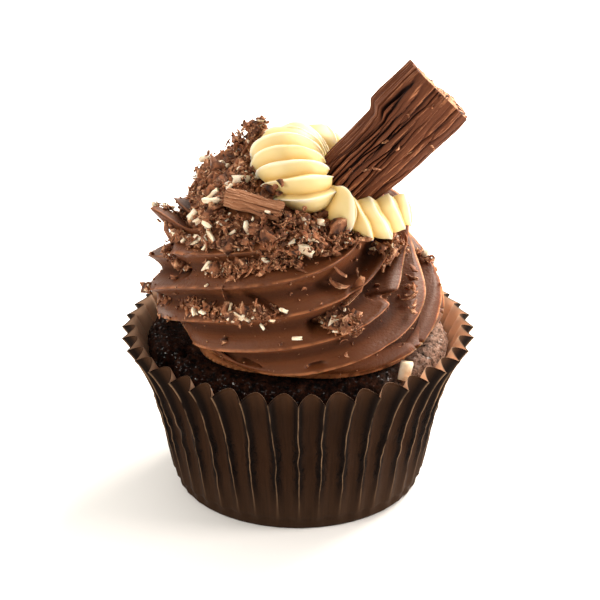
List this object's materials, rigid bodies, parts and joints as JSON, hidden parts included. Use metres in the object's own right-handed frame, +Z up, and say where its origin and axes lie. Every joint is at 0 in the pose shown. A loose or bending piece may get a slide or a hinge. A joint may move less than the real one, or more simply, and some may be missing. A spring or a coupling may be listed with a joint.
{
  "type": "chocolate cupcake in a pleated paper case",
  "caption": "Round sponge cupcake in a flared pleated paper case, with a ridged swirl of chocolate frosting, crumbs, a rope of vanilla frosting and a leaning flaked chocolate stick.",
  "frame": {"origin": "centre of the paper case's flat underside", "axes": "+Z up out of the case, -Y towards the side that shows the vanilla rope and the stick best, +X towards the side that the stick leans to"},
  "size_m": [0.076, 0.076, 0.0946],
  "materials": {
    "paper": "matt greaseproof paper, dark brown",
    "sponge": "porous, moist dark chocolate cake",
    "chocolate_frosting": "smooth satin buttercream",
    "vanilla_frosting": "smooth satin buttercream",
    "milk_chocolate": "folded, flaky milk chocolate with a dry matt face"
  },
  "bodies": {
    "root": {"paper_case": "paper", "sponge": "sponge", "chocolate_frosting": "chocolate_frosting", "vanilla_frosting": "vanilla_frosting", "flaked_stick": "milk_chocolate", "flaked_piece": "milk_chocolate"}
  },
  "joints": []
}
